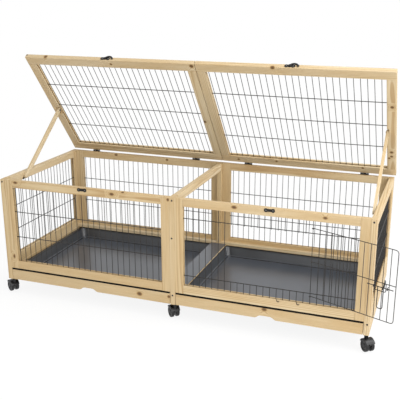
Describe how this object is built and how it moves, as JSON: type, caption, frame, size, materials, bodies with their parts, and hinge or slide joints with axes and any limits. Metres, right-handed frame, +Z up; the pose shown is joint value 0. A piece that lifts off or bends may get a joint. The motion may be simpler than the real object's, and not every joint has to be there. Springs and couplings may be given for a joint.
{
  "type": "indoor rabbit enclosure",
  "caption": "Long wooden indoor rabbit cage on castors, with wire mesh walls, propped mesh lids, a wire side-hung door and pull-out plastic trays.",
  "frame": {"origin": "on the floor under the middle of the wooden cage", "axes": "+X to the right seen from the door side, -Y out of the front, +Z up"},
  "size_m": [1.5617, 0.694, 0.9486],
  "materials": {
    "pine": "planed, unvarnished",
    "wire": "dark satin coating",
    "tray_plastic": "semi-gloss",
    "castor_plastic": "satin",
    "castor_wheel_plastic": "satin",
    "dark_steel": "black coating",
    "steel": "zinc plated"
  },
  "bodies": {
    "frame": {"back_boards": "pine", "back_left_rails": "pine", "back_left_stiles": "pine", "back_right_rails": "pine", "back_right_stiles": "pine", "castor_sockets": "steel", "cover_strips": "pine", "divider_cover": "tray_plastic", "front_left_rails": "pine", "front_left_stiles": "pine", "front_right_rails": "pine", "front_right_stiles": "pine", "hinge_leaves": "dark_steel", "latch_keepers": "dark_steel", "legs": "pine", "mesh_back_left": "wire", "mesh_back_right": "wire", "mesh_front_left": "wire", "mesh_front_right": "wire", "mesh_left": "wire", "mesh_right": "wire", "side_boards": "pine", "side_top_rails": "pine", "stay_stops": "dark_steel", "tray_ledges": "pine"},
    "lid_left": {"lid_left_stiles": "pine", "lid_left_rails": "pine", "lid_left_mesh": "wire", "lid_left_stay_screw": "dark_steel", "lid_left_hinge_leaves": "dark_steel", "lid_left_latch_plate": "dark_steel"},
    "stay_left": {"stay_left": "pine"},
    "latch_hook_left": {"lid_left_hook": "dark_steel"},
    "lid_right": {"lid_right_stiles": "pine", "lid_right_rails": "pine", "lid_right_mesh": "wire", "lid_right_stay_screw": "dark_steel", "lid_right_hinge_leaves": "dark_steel", "lid_right_latch_plate": "dark_steel"},
    "stay_right": {"stay_right": "pine"},
    "latch_hook_right": {"lid_right_hook": "dark_steel"},
    "door": {"door": "wire"},
    "door_bolt": {"door_bolt": "wire"},
    "drawer_left": {"drawer_left_front": "pine", "drawer_left_tray": "tray_plastic"},
    "drawer_right": {"drawer_right_front": "pine", "drawer_right_tray": "tray_plastic"},
    "castor_front_left": {"castor_front_left_frame": "castor_plastic"},
    "castor_front_left_wheels": {"castor_front_left_wheels": "castor_wheel_plastic"},
    "castor_front_middle": {"castor_front_middle_frame": "castor_plastic"},
    "castor_front_middle_wheels": {"castor_front_middle_wheels": "castor_wheel_plastic"},
    "castor_front_right": {"castor_front_right_frame": "castor_plastic"},
    "castor_front_right_wheels": {"castor_front_right_wheels": "castor_wheel_plastic"},
    "castor_back_left": {"castor_back_left_frame": "castor_plastic"},
    "castor_back_left_wheels": {"castor_back_left_wheels": "castor_wheel_plastic"},
    "castor_back_middle": {"castor_back_middle_frame": "castor_plastic"},
    "castor_back_middle_wheels": {"castor_back_middle_wheels": "castor_wheel_plastic"},
    "castor_back_right": {"castor_back_right_frame": "castor_plastic"},
    "castor_back_right_wheels": {"castor_back_right_wheels": "castor_wheel_plastic"}
  },
  "joints": [
    {"name": "lid_left_hinge", "type": "hinge", "parent": "frame", "child": "lid_left", "pos_m": [-0.363, 0.282, 0.4845], "axis": [1, 0, 0], "range_deg": [-35, 52.1]},
    {"name": "stay_left_pivot", "type": "hinge", "parent": "lid_left", "child": "stay_left", "pos_m": [-0.6985, 0.13009, 0.6894], "axis": [1, 0, 0], "range_deg": [-43, 29]},
    {"name": "latch_hook_left_swivel", "type": "hinge", "parent": "lid_left", "child": "latch_hook_left", "pos_m": [-0.363, -0.056, 0.9374], "axis": [0, 0.6143, -0.7891], "range_deg": [0, 70]},
    {"name": "lid_right_hinge", "type": "hinge", "parent": "frame", "child": "lid_right", "pos_m": [0.363, 0.282, 0.4845], "axis": [1, 0, 0], "range_deg": [-35, 52.1]},
    {"name": "stay_right_pivot", "type": "hinge", "parent": "lid_right", "child": "stay_right", "pos_m": [0.6985, 0.13009, 0.6894], "axis": [1, 0, 0], "range_deg": [-43, 29]},
    {"name": "latch_hook_right_swivel", "type": "hinge", "parent": "lid_right", "child": "latch_hook_right", "pos_m": [0.363, -0.056, 0.9374], "axis": [0, 0.6143, -0.7891], "range_deg": [0, 70]},
    {"name": "door_hinge", "type": "hinge", "parent": "frame", "child": "door", "pos_m": [0.5148, -0.27515, 0.2945], "axis": [0, 0, 1], "range_deg": [-157.8, 3]},
    {"name": "door_bolt_slide", "type": "slide", "parent": "door", "child": "door_bolt", "axis": [0.9259, -0.3778, 0], "range_m": [0, 0.01]},
    {"name": "drawer_left_slide", "type": "slide", "parent": "frame", "child": "drawer_left", "axis": [0, -1, 0], "range_m": [0, 0.42]},
    {"name": "drawer_right_slide", "type": "slide", "parent": "frame", "child": "drawer_right", "axis": [0, -1, 0], "range_m": [0, 0.42]},
    {"name": "castor_front_left_swivel", "type": "hinge", "parent": "frame", "child": "castor_front_left", "pos_m": [-0.715, -0.263, 0.062], "axis": [0, 0, 1], "continuous": true},
    {"name": "castor_front_left_spin", "type": "hinge", "parent": "castor_front_left", "child": "castor_front_left_wheels", "pos_m": [-0.72518, -0.25664, 0.022], "axis": [0.5299, 0.848, 0], "continuous": true},
    {"name": "castor_front_middle_swivel", "type": "hinge", "parent": "frame", "child": "castor_front_middle", "pos_m": [0, -0.263, 0.062], "axis": [0, 0, 1], "continuous": true},
    {"name": "castor_front_middle_spin", "type": "hinge", "parent": "castor_front_middle", "child": "castor_front_middle_wheels", "pos_m": [-0.00834, -0.25437, 0.022], "axis": [0.7193, 0.6947, 0], "continuous": true},
    {"name": "castor_front_right_swivel", "type": "hinge", "parent": "frame", "child": "castor_front_right", "pos_m": [0.715, -0.263, 0.062], "axis": [0, 0, 1], "continuous": true},
    {"name": "castor_front_right_spin", "type": "hinge", "parent": "castor_front_right", "child": "castor_front_right_wheels", "pos_m": [0.72239, -0.27246, 0.022], "axis": [-0.788, -0.6157, 0], "continuous": true},
    {"name": "castor_back_left_swivel", "type": "hinge", "parent": "frame", "child": "castor_back_left", "pos_m": [-0.715, 0.263, 0.062], "axis": [0, 0, 1], "continuous": true},
    {"name": "castor_back_left_spin", "type": "hinge", "parent": "castor_back_left", "child": "castor_back_left_wheels", "pos_m": [-0.70387, 0.26749, 0.022], "axis": [0.3746, -0.9272, 0], "continuous": true},
    {"name": "castor_back_middle_swivel", "type": "hinge", "parent": "frame", "child": "castor_back_middle", "pos_m": [0, 0.263, 0.062], "axis": [0, 0, 1], "continuous": true},
    {"name": "castor_back_middle_spin", "type": "hinge", "parent": "castor_back_middle", "child": "castor_back_middle_wheels", "pos_m": [0.01188, 0.26467, 0.022], "axis": [0.1392, -0.9903, 0], "continuous": true},
    {"name": "castor_back_right_swivel", "type": "hinge", "parent": "frame", "child": "castor_back_right", "pos_m": [0.715, 0.263, 0.062], "axis": [0, 0, 1], "continuous": true},
    {"name": "castor_back_right_spin", "type": "hinge", "parent": "castor_back_right", "child": "castor_back_right_wheels", "pos_m": [0.70301, 0.26258, 0.022], "axis": [-0.0349, 0.9994, 0], "continuous": true}
  ],
  "couplings": [
    {"joint": "stay_left_pivot", "follows": "lid_left_hinge", "ratio": -0.8},
    {"joint": "stay_right_pivot", "follows": "lid_right_hinge", "ratio": -0.8}
  ]
}
